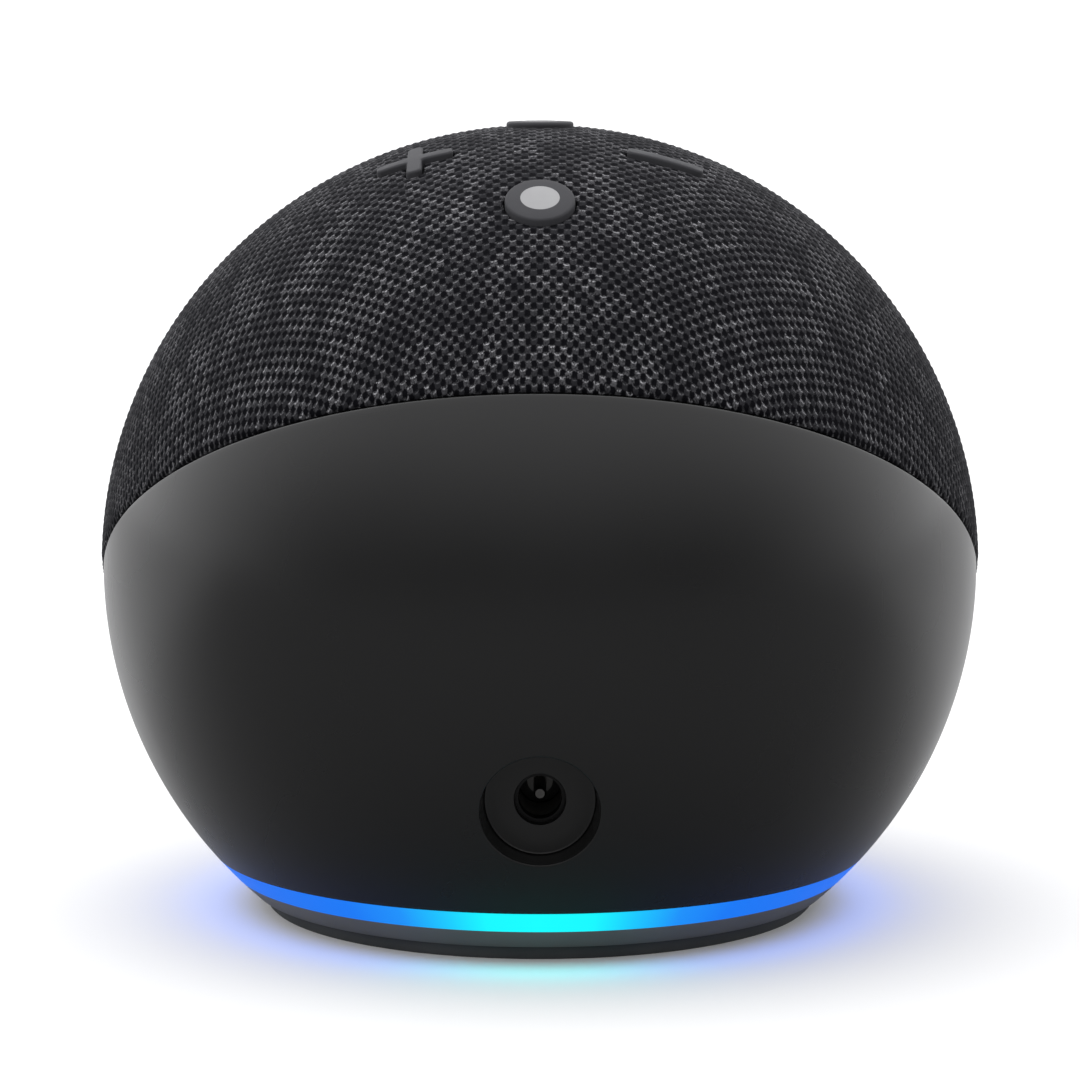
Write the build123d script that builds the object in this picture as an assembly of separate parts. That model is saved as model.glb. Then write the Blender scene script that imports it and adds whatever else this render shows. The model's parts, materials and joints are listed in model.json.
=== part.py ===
from build123d import *
from math import atan2, cos, degrees, pi, radians, sin, sqrt
import os

# A ball-shaped smart speaker, standing on a flat foot. Millimetres, +Z up, the origin at the middle of
# the foot's underside. The front, where the loudspeaker points, is -Y; the power socket is at +Y.

# ---- Driving dimensions: the ball and its outside pieces ----
ball_radius = 50.0          # over the fabric
overall_height = 89.0
shell_radius = 49.75        # the plastic stands a little inside the fabric
wall = 2.0
fabric_thickness = 0.7
dome_wall = 1.8
seam_tilt = 31.5            # the seam runs low at the front and high at the back
seam_drop = 2.0             # how far the seam plane passes below the ball's centre
seam_gap = 0.1
foot_height = 1.7
ring_bottom = 3.95          # the light ring's lower and upper edge, above the table
ring_top = 6.45
edge_radius = 0.3

# ---- Driving dimensions: the keys ----
key_tilt = 14.8             # the key board leans towards the back by this angle
key_spread = 13.8           # each key's distance from the middle of the board
key_proud = 0.45
key_travel = 0.35
key_gap = 0.2
round_key_radius = 3.8
bar_length = 8.4
bar_width = 1.7
bar_corner = 0.6
dot_radius = 2.12

# ---- Driving dimensions: the inside ----
driver_tilt = 15.0          # the loudspeaker looks a little upwards
driver_radius = 22.0
cone_travel = 1.5
socket_z = 19.0             # height of the power socket's axis
recess_radius = 6.0         # at its floor; it widens outwards
recess_floor_y = 37.8
recess_draft = 0.05         # how much it widens for each millimetre outwards
socket_hole_radius = 2.75
socket_bore_radius = 2.35
socket_depth = 9.7
socket_pin_radius = 0.7
socket_pin_chamfer = 0.2
socket_pin_root = 1.4
board_z = 12.0
board_thickness = 1.6
screw_radius = 1.15
screw_play = 0.05

centre_z = overall_height - ball_radius
fabric_inner = ball_radius - fabric_thickness
dome_inner = fabric_inner - dome_wall
shell_inner = shell_radius - wall
key_top = ball_radius + key_proud
far = 150.0                 # longer than anything in the object
slab_radius = 45.0          # round slabs near the foot; wider than the ball there, and trimmed by it

low = (Align.CENTER, Align.CENTER, Align.MIN)
high = (Align.CENTER, Align.CENTER, Align.MAX)
centre = Vector(0, 0, centre_z)

# The dome, key and driver frames start at the ball's centre; each keeps the object's x axis.
ground = Plane(origin=(0, 0, 0))
socket = Plane(origin=(0, 0, socket_z), x_dir=(-1, 0, 0), z_dir=(0, 1, 0))
dome = Plane(centre, x_dir=(1, 0, 0), z_dir=(0, -sin(radians(seam_tilt)), cos(radians(seam_tilt))))
keys = Plane(centre, x_dir=(1, 0, 0), z_dir=(0, sin(radians(key_tilt)), cos(radians(key_tilt))))
driver = Plane(centre, x_dir=(1, 0, 0), z_dir=(0, -cos(radians(driver_tilt)), sin(radians(driver_tilt))))


# ---- Small helpers ----

def save(name, shape):
    """Writes one sub-part."""
    solids = shape.solids()
    print(name, len(solids), round(sum(s.volume for s in solids), 1))
    export_step(Compound(children=list(solids)) if len(solids) > 1 else solids[0], f"parts/{name}.step")


def ball(radius):
    return dome * Sphere(radius)


def spherical_wall(outer, inner):
    return ball(outer) - ball(inner)


def above(frame, height):
    """All space over a frame's plane at that height."""
    return frame * Pos(0, 0, height) * Box(2 * far, 2 * far, far, align=low)


def below(frame, height):
    return frame * Pos(0, 0, height) * Box(2 * far, 2 * far, far, align=high)


def post(frame, x, y, bottom, top, radius):
    """A round post that stands along the frame's z axis."""
    return frame * Pos(x, y, bottom) * Cylinder(radius, top - bottom, align=low)


def tube(frame, x, y, bottom, top, outer, inner):
    ring = Cylinder(outer, top - bottom, align=low) - Cylinder(inner, top - bottom, align=low)
    return frame * Pos(x, y, bottom) * ring


def block(frame, x, y, bottom, width, depth, height):
    return frame * Pos(x, y, bottom) * Box(width, depth, height, align=low)


def turned(frame, points):
    """A solid of revolution about the frame's z axis, from (radius, height) points."""
    profile = Plane.XZ * make_face(Polyline(*points, close=True))
    return frame * revolve(profile, Axis.Z)


def joined(shapes):
    """One shape from several, whether or not they touch."""
    shapes = list(shapes)
    whole = shapes[0]
    for shape in shapes[1:]:
        whole += shape
    return whole


def around(count, radius, start=0.0):
    """Evenly spaced places on a circle."""
    step = 2 * pi / count
    return [(radius * cos(radians(start) + i * step), radius * sin(radians(start) + i * step))
            for i in range(count)]


def corners(x, y):
    return [(x, y), (-x, y), (-x, -y), (x, -y)]


def edges_at(shape, radius, tolerance=0.02):
    """The edges that lie on a sphere about the ball's centre."""
    return [e for e in shape.edges()
            if all(abs((e @ t - centre).length - radius) < tolerance for t in (0.0, 0.3, 0.5, 0.8))]


# ---- Keys: outlines in the key frame, where +y is towards the back ----

def round_outline(grow=0.0):
    return Circle(round_key_radius + grow)


def bar_outline(grow=0.0):
    return RectangleRounded(bar_length + 2 * grow, bar_width + 2 * grow, bar_corner + grow)


def plus_outline(grow=0.0):
    cross = bar_outline(grow) + Rot(0, 0, 90) * bar_outline(grow)
    half = bar_width / 2 + grow
    inner = [v for v in cross.vertices() if abs(abs(v.X) - half) < 0.01 and abs(abs(v.Y) - half) < 0.01]
    return fillet(inner, inner_corner)


key_places = {
    "volume_up": (key_spread, 0.0, plus_outline),
    "volume_down": (-key_spread, 0.0, bar_outline),
    "action": (0.0, key_spread, round_outline),
    "microphone": (0.0, -key_spread, round_outline),
}
key_board_top = 40.0
switch_height = 1.2
switch_floor = 0.1
plunger_top = 2.0           # the plunger's top above the board
plunger_radius = 0.8
plunger_play = 0.05          # left under the plunger when its key is pressed right down
flange_wall = 1.1
flange_margin = 0.75
flange_play = 0.1           # between a key's flange and the dome, at rest
stem_radius = 1.2
stem_top = 46.0
inner_corner = 0.3          # the plus's four inner corners
round_key_edge = 0.35
bar_key_edge = 0.3
dot_depth = 0.6
mark_outer = 2.1
mark_inner = 1.7
mark_bar = (3.9, 0.4)
prism_bottom = 35.0          # key columns reach from inside the dome to well outside it
prism_top = 60.0


def key_prism(name, grow=0.0):
    """The key's outline as a straight column along the key frame's z axis."""
    x, y, outline = key_places[name]
    return keys * Pos(x, y, prism_bottom) * extrude(outline(grow), amount=prism_top - prism_bottom)


def key_inlay(name):
    """The column of a key's pale mark: a dot, or a ring with a bar across it."""
    x, y, _ = key_places[name]
    if name == "action":
        mark = Circle(dot_radius)
    else:
        mark = Circle(mark_outer) - Circle(mark_inner) + Rot(0, 0, 45) * Rectangle(*mark_bar)
    column = keys * Pos(x, y, prism_bottom) * extrude(mark, amount=prism_top - prism_bottom)
    return column & spherical_wall(key_top, key_top - dot_depth)


def key_cap(name):
    """A key: its top follows the ball, a flange keeps it in, and a stem reaches down to its switch."""
    x, y, _ = key_places[name]
    flange_top = dome_inner - flange_play
    is_round = name in ("action", "microphone")
    cap = key_prism(name) & spherical_wall(key_top, flange_top - flange_wall)
    cap = fillet(edges_at(cap, key_top), round_key_edge if is_round else bar_key_edge)
    flange = key_prism(name, grow=flange_margin) & spherical_wall(flange_top, flange_top - flange_wall)
    stem = post(keys, x, y, key_board_top + plunger_top, stem_top, stem_radius) & ball(flange_top)
    cap = cap + flange + stem
    if is_round:
        cap = cap - key_inlay(name)
    return cap


def plunger(name):
    x, y, _ = key_places[name]
    bottom = key_board_top + switch_floor + key_travel + plunger_play
    return post(keys, x, y, bottom, key_board_top + plunger_top, plunger_radius)


# ---- Outside ----

grille_edge = 24.0
grille_hole = 1.25
grille_pitch = 3.7
grille_rings = 5
grille_play = 0.1
grille_rim_wall = 1.2
grille_rim_out = 1.6         # the rim reaches this far past the window, and in from its edge
grille_rim_in = 2.4
window_back = 30.0           # the window is cut between these heights of the driver frame
window_front = 60.0
key_boss_at = 13.5
key_boss_radius = 2.6
mic_at = 7.0
mic_hole = 0.5
lip_depth = 3.0
lip_rise = 3.0               # how far the dome's lip runs up inside it
lip_wall = 1.4
lip_play = 0.15


def fabric_sleeve():
    """The knitted skin over the dome, open where the keys come through."""
    skin = spherical_wall(ball_radius, fabric_inner) & above(dome, -seam_drop)
    for name in key_places:
        skin -= key_prism(name, key_gap)
    return skin


def dome_frame():
    """The rigid dome under the fabric, with a window for the grille and bosses for the key board."""
    body = spherical_wall(fabric_inner, dome_inner) & above(dome, -seam_drop)
    lip_outer = shell_inner - lip_play
    lip = spherical_wall(lip_outer, lip_outer - lip_wall) & above(dome, -seam_drop - lip_depth)
    lip = lip & below(dome, -seam_drop + lip_rise)
    body += lip
    for x, y in corners(key_boss_at, key_boss_at):
        body += post(keys, x, y, key_board_top, 48.0, key_boss_radius) & ball(fabric_inner - 0.4)
    for x, y in corners(key_boss_at, key_boss_at):
        body -= post(keys, x, y, key_board_top - 1, key_board_top + 4.0, screw_radius + screw_play)
    for x, y in corners(mic_at, mic_at):
        body -= post(keys, x, y, 44.0, 52.0, mic_hole)
    for name in key_places:
        body -= key_prism(name, key_gap) & spherical_wall(ball_radius, dome_inner - 1)
    return body - post(driver, 0, 0, window_back, window_front, grille_edge)


def grille_holes():
    """Hexagonal places for the sound holes."""
    n = grille_rings
    places = []
    for i in range(-n, n + 1):
        for j in range(-n, n + 1):
            if abs(i + j) <= n:
                places.append((grille_pitch * (i + j / 2), grille_pitch * j * sqrt(3) / 2))
    return places


def speaker_grille():
    """The perforated cap in front of the loudspeaker, with a rim that sits behind the dome's window."""
    edge = grille_edge - grille_play
    inner = grille_edge - grille_rim_in
    cap = spherical_wall(fabric_inner, dome_inner) & post(driver, 0, 0, window_back, window_front, edge)
    rim_outer = dome_inner - 0.05
    rim = spherical_wall(rim_outer, rim_outer - grille_rim_wall)
    rim = rim & tube(driver, 0, 0, window_back, window_front, grille_edge + grille_rim_out, inner)
    neck = spherical_wall(dome_inner + 0.1, rim_outer - 0.1)
    neck = neck & tube(driver, 0, 0, window_back, window_front, edge, inner)
    cap = cap + rim + neck
    holes = [driver * Pos(x, y, 40) * Cylinder(grille_hole, 20) for x, y in grille_holes()]
    return cap - holes


floor_top = ring_top + 2.0
floor_bore = 18.0
recess_floor = 1.2
recess_wall = 1.8
cone_depth = 14.0            # from the recess's floor to outside the ball
base_boss_radius = 3.0
base_boss_top = 11.5
base_hole_top = 10.8
chassis_boss_radius = 3.6
chassis_hole = 1.4          # clear of the screw, in the floor and the main board
chassis_head_hole = 2.6
chassis_head_top = 8.3
base_screw_at = around(4, 23.0)
chassis_screw_at = corners(24.0, 14.0)


def rear_shell():
    """The smooth lower and rear casing, with the socket's recess and a floor that carries the boards."""
    body = spherical_wall(shell_radius, shell_inner) & below(dome, -seam_drop - seam_gap)
    body = body & above(ground, ring_top)
    seam_plane = -seam_drop - seam_gap
    rim = [e for e in edges_at(body, shell_radius)
           if abs((e @ 0.5 - centre).dot(dome.z_dir) - seam_plane) < 0.05]
    body = fillet(rim, edge_radius)
    floor = tube(ground, 0, 0, ring_top, floor_top, slab_radius, floor_bore) & ball(shell_inner + 0.5)
    body += floor
    for x, y in base_screw_at:
        body += post(ground, x, y, floor_top, base_boss_top, base_boss_radius)
    for x, y in chassis_screw_at:
        body += post(ground, x, y, floor_top, board_z, chassis_boss_radius)
    body -= post(socket, 0, 0, recess_floor_y - recess_floor, 60.0, recess_radius + recess_wall)
    for x, y in base_screw_at:
        body -= post(ground, x, y, ring_top - 1, base_hole_top, screw_radius + screw_play)
    for x, y in chassis_screw_at:
        body -= post(ground, x, y, ring_top - 1, board_z + 1, chassis_hole)
        body -= post(ground, x, y, ring_top - 1, chassis_head_top, chassis_head_hole)
    return body


def plug_recess():
    """The cup, welded into the rear shell, that the plug's moulded end goes into."""
    back = recess_floor_y - recess_floor
    cup = post(socket, 0, 0, back, 60.0, recess_radius + recess_wall) & ball(shell_radius)
    cone = Cone(recess_radius, recess_radius + recess_draft * cone_depth, cone_depth, align=low)
    cup -= socket * Pos(0, 0, recess_floor_y) * cone
    return cup - post(socket, 0, 0, back - 1, recess_floor_y + 1, socket_hole_radius)


ring_inner = 33.2


def light_ring():
    """The translucent ring that spreads the lamps' light, flush with the ball."""
    slab = tube(ground, 0, 0, ring_bottom, ring_top, slab_radius, ring_inner)
    return slab & ball(shell_radius)


foot_pocket = 0.5
foot_inner = 16.9
foot_outer = 31.9
pocket_play = 0.15
base_head_hole = 2.5
base_head_top = 3.1


def base_plate():
    """The bottom cover: it closes the ball, holds the foot in a shallow pocket and takes the screws."""
    body = post(ground, 0, 0, foot_height, ring_bottom, slab_radius) & ball(shell_radius)
    rim = [e for e in body.edges() if all(abs((e @ t).Z - foot_height) < 0.01 for t in (0.3, 0.7))]
    body = fillet(rim, edge_radius)
    pocket_top = foot_height + foot_pocket
    outer, inner = foot_outer + pocket_play, foot_inner - pocket_play
    body -= tube(ground, 0, 0, foot_height - 1, pocket_top, outer, inner)
    for x, y in base_screw_at:
        body += post(ground, x, y, ring_bottom - 0.2, ring_top, base_boss_radius)
    for x, y in base_screw_at:
        body -= post(ground, x, y, 0, base_head_top, base_head_hole)
        body -= post(ground, x, y, 0, ring_top + 1, screw_radius + 0.2)
    return body


foot_bevel = 0.25
foot_lean = 0.45             # the foot's outer side leans in by this much towards the table


def rubber_foot():
    top = foot_height + foot_pocket
    lower = foot_outer - foot_lean
    points = [(foot_inner, foot_bevel), (foot_inner + foot_bevel, 0), (lower - foot_bevel, 0),
              (lower, foot_bevel), (foot_outer, foot_height), (foot_outer, top), (foot_inner, top)]
    return turned(ground, points)


base_head = 0.8
base_head_radius = 2.2
base_screw_top = 10.5
chassis_head = 1.6
chassis_head_radius = 2.3
chassis_screw_top = 17.2


def screw(frame, x, y, head_bottom, head_top, head_radius, tip):
    """A plain screw: a round head, then its shank."""
    head = post(frame, x, y, head_bottom, head_top, head_radius)
    return head + post(frame, x, y, head_top, tip, screw_radius)


def base_screws():
    bottom = base_head_top - base_head
    return joined(screw(ground, x, y, bottom, base_head_top, base_head_radius, base_screw_top)
                  for x, y in base_screw_at)


def chassis_screws():
    bottom = chassis_head_top - chassis_head
    return joined(screw(ground, x, y, bottom, chassis_head_top, chassis_head_radius, chassis_screw_top)
                  for x, y in chassis_screw_at)


# ---- Lamps and main board ----

lamp_count = 12
lamp_at = 31.4


def led_board():
    return tube(ground, 0, 0, ring_top - 1.2, ring_top, 32.8, 27.5)


def ring_leds():
    """Side-looking lamps under the ring board, each facing outwards."""
    lamp = block(ground, lamp_at, 0, ring_top - 2.2, 1.6, 2.4, 1.0)
    return joined(Rot(0, 0, i * 360 / lamp_count) * lamp for i in range(lamp_count))


board_top = board_z + board_thickness


def main_board():
    body = post(ground, 0, 0, board_z, board_top, 35.0)
    for x, y in chassis_screw_at:
        body -= post(ground, x, y, 0, 20, chassis_hole)
    return body


def main_processor():
    return block(ground, 0, -4, board_top, 13, 13, 1.2)


def memory_chips():
    return block(ground, 13, -3, board_top, 8, 11, 1.0) + block(ground, -13, -3, board_top, 9, 9, 1.0)


def radio_shield():
    """A pressed can over the radio, open underneath."""
    outer = block(ground, 0, -23, board_top, 16, 12, 1.6)
    return outer - block(ground, 0, -23, board_top, 15.4, 11.4, 1.3)


def power_parts():
    coils = joined(block(ground, x, 13, board_top, 5, 5, 2.4) for x in (-13, -6.5))
    cans = joined(post(ground, x, 26.5, board_top, board_top + 5.4, 3.0) for x in (-11, -18))
    return coils + cans


def board_connectors():
    """The key flex's two sockets, one on each board, and the loudspeaker's."""
    lower = block(ground, flex_x, flex_y, board_top, flex_width + 2, 2.4, connector_height)
    upper = block(keys, flex_x, flex_end_y, key_connector_bottom, flex_width + 2, 2.4, connector_height)
    return lower + upper + block(ground, 0, lead_y, board_top, 7, 4.2, connector_height)


def antennas():
    """Two chip antennas on small upright boards at the main board's sides."""
    return joined(block(ground, x, -4, board_top, 1.0, 11.0, 4.0) for x in (-30.5, 30.5))


pad_top = board_top + 1.7
spreader_top = pad_top + 2.4


def thermal_pad():
    return block(ground, 0, -4, board_top + 1.2, 12, 12, 0.5)


def heat_spreader():
    """A cast plate over the chips, standing on four small pillars."""
    plate = post(ground, 0, 0, pad_top, spreader_top, 24.0) & block(ground, 0, -7.5, pad_top, 60, 33, 5)
    for x, y in [(10, 6), (-10, 6), (15, -14), (-15, -14)]:
        plate += post(ground, x, y, board_top, pad_top + 0.1, 1.4)
    return plate


# ---- Power socket, on the main board at the back ----

socket_face_y = recess_floor_y - recess_floor - 0.1
socket_back_y = 26.0
socket_body_width = 9.6
socket_body_cover = 4.6      # body over the bore's axis
socket_pin_sunk = 1.9        # the pin's tip behind the socket's face
socket_root_step = 0.5       # the root's front before the bore's end
contact_front = socket_face_y - 2.0
contact_back = contact_front - 6.5
contact_wall = 0.3


def dc_socket_housing():
    depth = socket_face_y - socket_back_y
    height = socket_z + socket_body_cover - board_top
    middle = (socket_face_y + socket_back_y) / 2
    body = block(ground, 0, middle, board_top, socket_body_width, depth, height)
    bore_back = socket_face_y - socket_depth
    body -= post(socket, 0, 0, bore_back, socket_face_y + 1, socket_bore_radius)
    body -= post(socket, 0, 0, contact_back, contact_front, socket_bore_radius + contact_wall)
    return body - post(socket, 0, 0, socket_back_y - 1, bore_back + 1, socket_pin_root)


def dc_socket_pin():
    """The centre pin, on a thicker root that is held in the housing's back."""
    pin = post(socket, 0, 0, socket_back_y, socket_face_y - socket_pin_sunk, socket_pin_radius)
    pin = chamfer(pin.edges().sort_by(Axis.Y)[-1], socket_pin_chamfer)
    root_front = socket_face_y - socket_depth + socket_root_step
    return pin + post(socket, 0, 0, socket_back_y, root_front, socket_pin_root)


def dc_socket_contact():
    outer = socket_bore_radius + contact_wall
    return tube(socket, 0, 0, contact_back, contact_front, outer, socket_bore_radius)


# ---- Acoustic chamber and baffle ----

chamber_radius = 45.5
chamber_wall = 1.6
chamber_floor = 18.2
chamber_back = 22.0
chamber_roof = 36.2
chamber_front = 29.0
seal_thickness = 0.6
baffle_boss_radius = 3.0
baffle_boss_back = 14.0
rib_width = 2.4
rib_reach = 16.0
rib_at = 36.0
cut_from = 20.0              # through cuts in the baffle run between these heights of the driver frame
cut_to = 50.0
baffle_thickness = 2.0
baffle_screw_ring = 28.5
baffle_screw_back = 19.0
baffle_head = 1.5
baffle_head_radius = 2.2
baffle_screw_at = [(baffle_screw_ring * cos(radians(a)), baffle_screw_ring * sin(radians(a)))
                   for a in (28, 152, 208, 332)]
baffle_back = chamber_front + seal_thickness
baffle_front = baffle_back + baffle_thickness
driver_hole = 19.2
driver_screw_at = around(4, 20.6, 45.0)
lead_x = 2.2
lead_y = 14.5
lead_radius = 0.6
lead_start_y = -19.2         # in the driver frame, at the tags
lead_run_z = 22.6
lead_bend = 1.5
grommet_radius = 4.6


def chamber_space(inset, front):
    """The chamber's outer form, drawn in by inset and cut off at a distance along the driver's axis."""
    space = ball(chamber_radius - inset) & below(driver, front)
    space = space & above(ground, chamber_floor + inset)
    space = space & below(keys, chamber_roof - inset)
    back = Plane(origin=(0, chamber_back - inset, 0), x_dir=(-1, 0, 0), z_dir=(0, 1, 0))
    return space & below(back, 0)


def acoustic_chamber():
    """The sealed box behind the loudspeaker, with bosses for the baffle and legs on the main board."""
    outer = chamber_space(0, chamber_front)
    body = outer - chamber_space(chamber_wall, chamber_front + 1)
    rib_block = Box(rib_reach, rib_width, chamber_front - baffle_boss_back, align=low)
    for x, y in baffle_screw_at:
        rib = Rot(0, 0, degrees(atan2(y, x))) * Pos(rib_at, 0, baffle_boss_back) * rib_block
        boss = post(driver, x, y, baffle_boss_back, chamber_front, baffle_boss_radius)
        body += (boss + driver * rib) & outer
    for x, y in chassis_screw_at:
        leg = post(ground, x, y, board_top, chamber_floor + chamber_wall + 2.0, 3.0)
        body += leg & ball(chamber_radius)
    for x, y in baffle_screw_at:
        body -= post(driver, x, y, 17.0, chamber_front + 1, screw_radius + screw_play)
    for x, y in chassis_screw_at:
        body -= post(ground, x, y, board_top - 1, 18.4, screw_radius + screw_play)
    return body - post(ground, 0, lead_y, 15, 25, grommet_radius - 0.8)


def front_slab(bottom, top, inset):
    return chamber_space(inset, top) & above(driver, bottom)


def baffle_seal():
    seal = front_slab(chamber_front, baffle_back, 0) - front_slab(chamber_front, baffle_back, chamber_wall)
    for x, y in baffle_screw_at:
        seal -= post(driver, x, y, cut_from, cut_to, baffle_boss_radius)
    return seal


def front_baffle():
    body = front_slab(baffle_back, baffle_front, 0)
    body -= post(driver, 0, 0, cut_from, cut_to, driver_hole)
    for x, y in baffle_screw_at:
        body -= post(driver, x, y, cut_from, cut_to, chassis_hole)
    return body - driver_fixing_holes()


def baffle_screws():
    top = baffle_front + baffle_head
    return joined(post(driver, x, y, baffle_front, top, baffle_head_radius)
                  + post(driver, x, y, baffle_screw_back, baffle_front, screw_radius)
                  for x, y in baffle_screw_at)


# ---- Loudspeaker driver, about the driver frame's z axis ----

gasket_thickness = 0.6
flange_back = baffle_front + gasket_thickness
flange_front = flange_back + 1.0
flange_bore = 18.9
basket_floor = 19.0
basket_floor_radius = 14.5
basket_skin = 0.8
magnet_radius = 13.5
magnet_bore = 7.6
plate_radius = 13.0
plate_back = 17.0
magnet_back = 10.0
yoke_back = 8.0
pole_radius = 5.8
gap_radius = 6.8
coil_inner = 6.05
coil_outer = 6.45
cone_rim = 15.9
cone_throat = 23.0
paper = 0.5
spider_height = basket_floor + basket_skin + cone_travel + 0.3
roll_thickness = 0.35
fixing_radius = 0.8


def driver_fixing_holes():
    radius = fixing_radius + screw_play
    return joined(post(driver, x, y, cut_from, cut_to, radius) for x, y in driver_screw_at)


def driver_gasket():
    return tube(driver, 0, 0, baffle_front, flange_back, driver_radius, driver_hole) - driver_fixing_holes()


def driver_basket():
    """A pressed frame: a flat flange, a tapering wall with windows, and a floor that takes the magnet."""
    floor_front = basket_floor + basket_skin
    points = [(driver_radius, flange_back), (driver_radius, flange_front), (flange_bore, flange_front),
              (flange_bore - basket_skin, flange_back), (basket_floor_radius - basket_skin, floor_front),
              (magnet_bore, floor_front), (magnet_bore, basket_floor), (basket_floor_radius, basket_floor),
              (flange_bore, flange_back)]
    body = turned(driver, points)
    window = Pos(16.5, 0, 26.3) * Box(6, 11, 6.5)
    for i in range(4):
        body -= driver * Rot(0, 0, 45 + 90 * i) * window
    return body - driver_fixing_holes()


def driver_screws():
    back = baffle_back + 0.2
    heads = joined(post(driver, x, y, flange_front, flange_front + 0.9, 1.3) for x, y in driver_screw_at)
    return heads + joined(post(driver, x, y, back, flange_front, fixing_radius) for x, y in driver_screw_at)


def top_plate():
    return tube(driver, 0, 0, plate_back, basket_floor, plate_radius, gap_radius)


def magnet():
    return tube(driver, 0, 0, magnet_back, plate_back, magnet_radius, magnet_bore)


def pole_yoke():
    pole = post(driver, 0, 0, magnet_back, basket_floor, pole_radius)
    return post(driver, 0, 0, yoke_back, magnet_back, plate_radius) + pole


def driver_spider():
    """The corrugated centring disc, as concentric ridges, with a collar down to the basket's floor."""
    ridges = 4
    inner, outer = coil_outer + 0.15, 13.3
    step = (outer - inner) / (2 * ridges)
    lower = [(inner + i * step, spider_height + 0.35 * (i % 2)) for i in range(2 * ridges + 1)]
    upper = [(r, z + 0.25) for r, z in reversed(lower)]
    collar = tube(driver, 0, 0, basket_floor + basket_skin, spider_height + 0.25, outer + 0.15, outer - 0.25)
    return turned(driver, lower + upper) + collar


def driver_surround():
    """The rubber half-roll between the cone and the frame, with a flat lip glued to the flange."""
    inner, outer = cone_rim - 0.2, 18.8
    middle, roll = (inner + outer) / 2, (outer - inner) / 2
    arch = Pos(middle, flange_front) * (Circle(roll) - Circle(roll - roll_thickness))
    arch = arch & (Pos(middle, flange_front + roll) * Rectangle(4 * roll, 2 * roll))
    lip = tube(driver, 0, 0, flange_front, flange_front + roll_thickness, 19.2, outer - roll_thickness)
    return driver * revolve(Plane.XZ * arch, Axis.Z) + lip


def speaker_cone():
    rim = flange_front
    neck = coil_outer + 0.02
    points = [(neck, cone_throat), (cone_rim, rim - paper), (cone_rim, rim), (neck, cone_throat + 1.0)]
    return turned(driver, points)


def dust_cap():
    """A shallow domed cap over the voice coil."""
    cap_radius = 8.0
    cap_wall = 0.4
    cap_foot = 25.5
    rise = 2.6
    curve = (cap_radius**2 + rise**2) / (2 * rise)
    cap = driver * Pos(0, 0, cap_foot + rise - curve) * (Sphere(curve) - Sphere(curve - cap_wall))
    return cap & above(driver, cap_foot)


def voice_coil():
    """The former with its winding, in the magnet's gap."""
    former = tube(driver, 0, 0, 14.0, cone_throat + 0.8, coil_outer, coil_inner)
    return former + tube(driver, 0, 0, 15.5, 20.0, coil_outer + 0.12, coil_outer - 0.1)


def driver_terminals():
    """Two tags on a strip below the basket."""
    strip = block(driver, 0, -15.6, 20.0, 9.0, 4.4, 2.8)
    basket = [(0, basket_floor), (basket_floor_radius, basket_floor), (flange_bore, flange_back),
              (0, flange_back)]
    strip -= turned(driver, basket)
    return strip + joined(block(driver, x, -18.9, 21.0, 1.8, 2.6, 0.6) for x in (-lead_x, lead_x))


def speaker_leads():
    """Two insulated leads from the tags, through the chamber's floor, to the main board."""
    leads = []
    end = board_top + connector_height
    for x in (-lead_x, lead_x):
        start = driver.from_local_coords(Vector(x, lead_start_y, 21.0))
        bend = driver.from_local_coords(Vector(x, lead_start_y, 14.0))
        path = FilletPolyline(start, bend, (x, 8.0, lead_run_z), (x, lead_y, lead_run_z), (x, lead_y, end),
                              radius=lead_bend)
        leads.append(sweep(Plane(origin=start, z_dir=path % 0) * Circle(lead_radius), path=path))
    return joined(leads)


def lead_grommet():
    """The rubber bush that seals the leads where they leave the chamber."""
    top = chamber_floor + chamber_wall
    bush = post(ground, 0, lead_y, chamber_floor - 0.7, top + 0.7, grommet_radius)
    bush -= tube(ground, 0, lead_y, chamber_floor, top, 9, grommet_radius - 0.8)
    for x in (-lead_x, lead_x):
        bush -= post(ground, x, lead_y, 10, 30, lead_radius)
    return bush


# ---- Key board ----

key_board_radius = 21.0
key_board_bottom = key_board_top - board_thickness
connector_height = 1.9
key_connector_bottom = key_board_bottom - connector_height
microphone_height = 1.0
gasket_radius = 1.9
gasket_bore = 0.6
gasket_top = 48.0            # outside the dome's inner side, which trims it
flex_x = 6.5
flex_y = 24.2
flex_width = 5.0
flex_thickness = 0.2
flex_bend_z = centre_z + 26.0
flex_end_y = (keys.to_local_coords(Vector(0, flex_y, flex_bend_z))).Y


def key_board():
    body = post(keys, 0, 0, key_board_bottom, key_board_top, key_board_radius)
    for x, y in corners(key_boss_at, key_boss_at):
        body -= post(keys, x, y, 30, 45, 1.4)
    return body


def key_switches():
    """Four small push switches, each with a hole for its plunger."""
    switches = []
    for x, y, _ in key_places.values():
        body = block(keys, x, y, key_board_top, 4.6, 4.6, switch_height)
        switches.append(body - post(keys, x, y, key_board_top + switch_floor, 50, plunger_radius + 0.1))
    return joined(switches)


def key_board_screws():
    return joined(post(keys, x, y, key_board_bottom - 1.3, key_board_bottom, 2.0)
                  + post(keys, x, y, key_board_bottom, 43.4, screw_radius)
                  for x, y in corners(key_boss_at, key_boss_at))


def microphones():
    return joined(block(keys, x, y, key_board_top, 3.0, 3.8, microphone_height)
                  for x, y in corners(mic_at, mic_at))


def microphone_gaskets():
    """Soft tubes that carry sound from the dome's four small holes down to the microphones."""
    bottom = key_board_top + microphone_height
    tubes = (tube(keys, x, y, bottom, gasket_top, gasket_radius, gasket_bore)
             for x, y in corners(mic_at, mic_at))
    return joined(tubes) & ball(dome_inner)


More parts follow.
